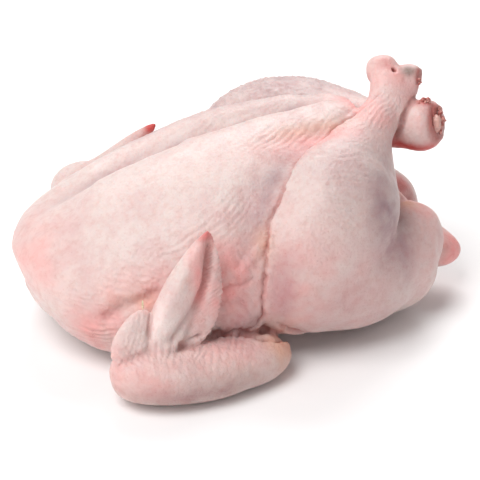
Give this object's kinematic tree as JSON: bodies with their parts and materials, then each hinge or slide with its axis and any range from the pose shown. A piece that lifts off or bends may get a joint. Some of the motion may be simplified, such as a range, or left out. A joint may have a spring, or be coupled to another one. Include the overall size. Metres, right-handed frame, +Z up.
{
  "type": "whole raw turkey",
  "caption": "Whole raw turkey, plucked and drawn, lying breast up on its back with crossed drumsticks and folded wings.",
  "frame": {"origin": "middle of the bird's bounding box, on the flat of its back where it rests", "axes": "+X from the neck end to the tail, +Z up through the breast, -Y towards the side whose wing tip stands up"},
  "size_m": [0.398, 0.346, 0.2169],
  "materials": {
    "skin": "satin, slightly moist raw poultry skin",
    "flesh": "moist cut flesh at the leg ends",
    "cartilage": "moist cartilage at the leg ends",
    "quill": "matte horn"
  },
  "bodies": {
    "root": {"turkey": "skin"}
  },
  "joints": []
}
